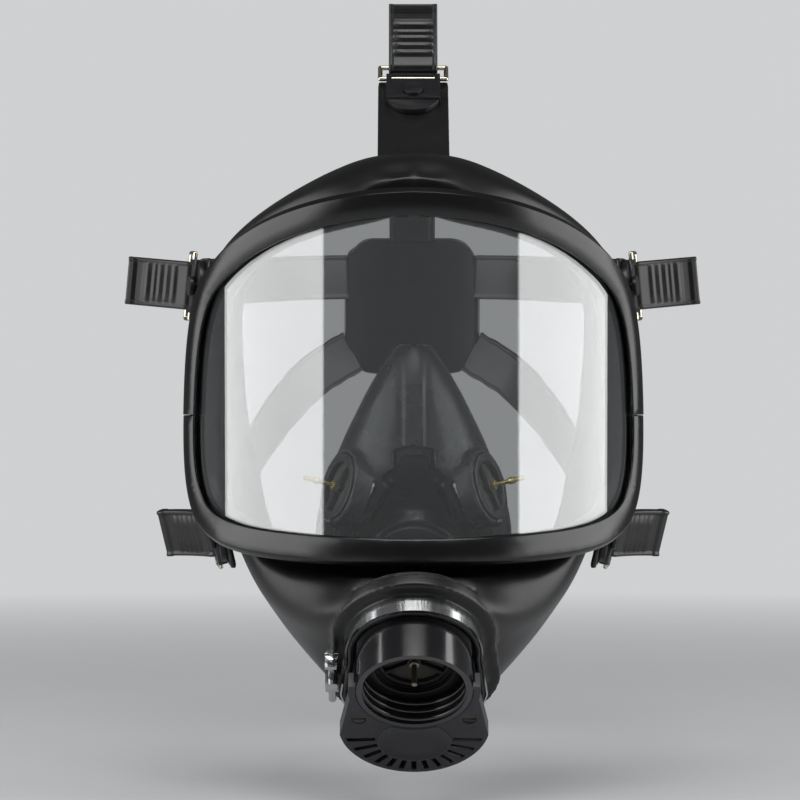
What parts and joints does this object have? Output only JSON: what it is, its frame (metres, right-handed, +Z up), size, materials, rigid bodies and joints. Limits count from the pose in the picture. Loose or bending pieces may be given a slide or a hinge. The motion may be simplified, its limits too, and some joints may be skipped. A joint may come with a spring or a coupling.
{
  "type": "full face respirator",
  "caption": "Full face respirator with a curved clear visor, split frame, inner nose cup, threaded front connector with exhalation valve, and a strap harness.",
  "frame": {"origin": "centre of the face opening: on the visor cylinder's vertical axis, level with the wearer's eyes less about 20 mm", "axes": "+Z up the wearer's face, -Y the way the mask looks, +X towards the wearer's left"},
  "size_m": [0.2358, 0.2765, 0.3061],
  "materials": {
    "moulded_rubber": "satin moulded black rubber",
    "clear_visor": "clear polycarbonate, hard coated, gloss",
    "frame_plastic": "satin black moulded nylon",
    "nose_cup_rubber": "satin grey-black silicone rubber",
    "valve_silicone": "thin translucent silicone",
    "brass_pin": "turned brass",
    "gloss_housing": "gloss black moulded plastic",
    "cover_plastic": "fine-grained black plastic",
    "polished_steel": "polished stainless strip",
    "loop_wire": "nickel-plated wire",
    "dark_screw": "black oxide steel",
    "buckle_plastic": "satin black moulded acetal",
    "strap_rubber": "matt black strap rubber"
  },
  "bodies": {
    "root": {"buckle_base_cheek_left": "buckle_plastic", "buckle_base_cheek_right": "buckle_plastic", "buckle_base_crown": "buckle_plastic", "buckle_base_temple_left": "buckle_plastic", "buckle_base_temple_right": "buckle_plastic", "buckle_rivets": "buckle_plastic", "clamp_band": "polished_steel", "clamp_nut": "polished_steel", "clamp_screw": "polished_steel", "connector_gasket": "moulded_rubber", "connector_housing": "gloss_housing", "cover_screws": "dark_screw", "exhalation_cover": "cover_plastic", "exhalation_seat": "frame_plastic", "exhalation_spring": "polished_steel", "face_blank": "moulded_rubber", "face_blank_lugs": "moulded_rubber", "face_blank_sleeve": "moulded_rubber", "frame_nuts": "dark_screw", "frame_screws": "dark_screw", "harness_pad": "strap_rubber", "harness_strap_cheek_left": "strap_rubber", "harness_strap_cheek_right": "strap_rubber", "harness_strap_crown": "strap_rubber", "harness_strap_temple_left": "strap_rubber", "harness_strap_temple_right": "strap_rubber", "inhalation_pin": "brass_pin", "inhalation_seat": "frame_plastic", "lower_frame": "frame_plastic", "nose_cup": "nose_cup_rubber", "nose_valve_pin_left": "brass_pin", "nose_valve_pin_right": "brass_pin", "nose_valve_seat_left": "frame_plastic", "nose_valve_seat_right": "frame_plastic", "speech_diaphragm": "valve_silicone", "speech_ring": "frame_plastic", "upper_frame": "frame_plastic", "visor": "clear_visor"},
    "buckle_loop_crown": {"wire_loop_crown": "loop_wire", "strap_tail_crown": "strap_rubber"},
    "buckle_loop_temple_left": {"wire_loop_temple_left": "loop_wire", "strap_tail_temple_left": "strap_rubber"},
    "buckle_loop_temple_right": {"wire_loop_temple_right": "loop_wire", "strap_tail_temple_right": "strap_rubber"},
    "buckle_loop_cheek_left": {"wire_loop_cheek_left": "loop_wire", "strap_tail_cheek_left": "strap_rubber"},
    "buckle_loop_cheek_right": {"wire_loop_cheek_right": "loop_wire", "strap_tail_cheek_right": "strap_rubber"},
    "inhalation_flap": {"inhalation_disc": "valve_silicone"},
    "exhalation_flap": {"exhalation_disc": "valve_silicone"},
    "nose_flap_left": {"nose_valve_disc_left": "valve_silicone"},
    "nose_flap_right": {"nose_valve_disc_right": "valve_silicone"}
  },
  "joints": [
    {"name": "buckle_swing_crown", "type": "hinge", "parent": "root", "child": "buckle_loop_crown", "pos_m": [0, -0.01193, 0.13142], "axis": [1, 0, 0], "range_deg": [-8, 45]},
    {"name": "buckle_swing_temple_left", "type": "hinge", "parent": "root", "child": "buckle_loop_temple_left", "pos_m": [-0.09098, -0.00221, 0.047], "axis": [0.0918, -0.027, 0.9954], "range_deg": [-8, 45]},
    {"name": "buckle_swing_temple_right", "type": "hinge", "parent": "root", "child": "buckle_loop_temple_right", "pos_m": [0.09098, -0.00221, 0.047], "axis": [0.0918, 0.027, -0.9954], "range_deg": [-8, 45]},
    {"name": "buckle_swing_cheek_left", "type": "hinge", "parent": "root", "child": "buckle_loop_cheek_left", "pos_m": [-0.08152, -0.01489, -0.05533], "axis": [-0.2147, -0.1846, 0.9591], "range_deg": [-8, 45]},
    {"name": "buckle_swing_cheek_right", "type": "hinge", "parent": "root", "child": "buckle_loop_cheek_right", "pos_m": [0.08152, -0.01489, -0.05533], "axis": [-0.2147, 0.1846, -0.9591], "range_deg": [-8, 45]},
    {"name": "inhalation_lift", "type": "slide", "parent": "root", "child": "inhalation_flap", "axis": [0, 0.682, 0.7314], "range_m": [0, 0.0025], "stiffness_N_per_m": 4, "springref_m": -0.0005},
    {"name": "exhalation_lift", "type": "slide", "parent": "root", "child": "exhalation_flap", "axis": [0, -0.682, -0.7314], "range_m": [0, 0.003], "stiffness_N_per_m": 40, "springref_m": -0.002, "deforming": ["exhalation_spring"]},
    {"name": "nose_valve_lift_left", "type": "slide", "parent": "root", "child": "nose_flap_left", "axis": [0.8721, 0.4253, -0.2419], "range_m": [0, 0.0015], "stiffness_N_per_m": 4, "springref_m": -0.0004},
    {"name": "nose_valve_lift_right", "type": "slide", "parent": "root", "child": "nose_flap_right", "axis": [-0.8721, 0.4253, -0.2419], "range_m": [0, 0.0015], "stiffness_N_per_m": 4, "springref_m": -0.0004}
  ]
}
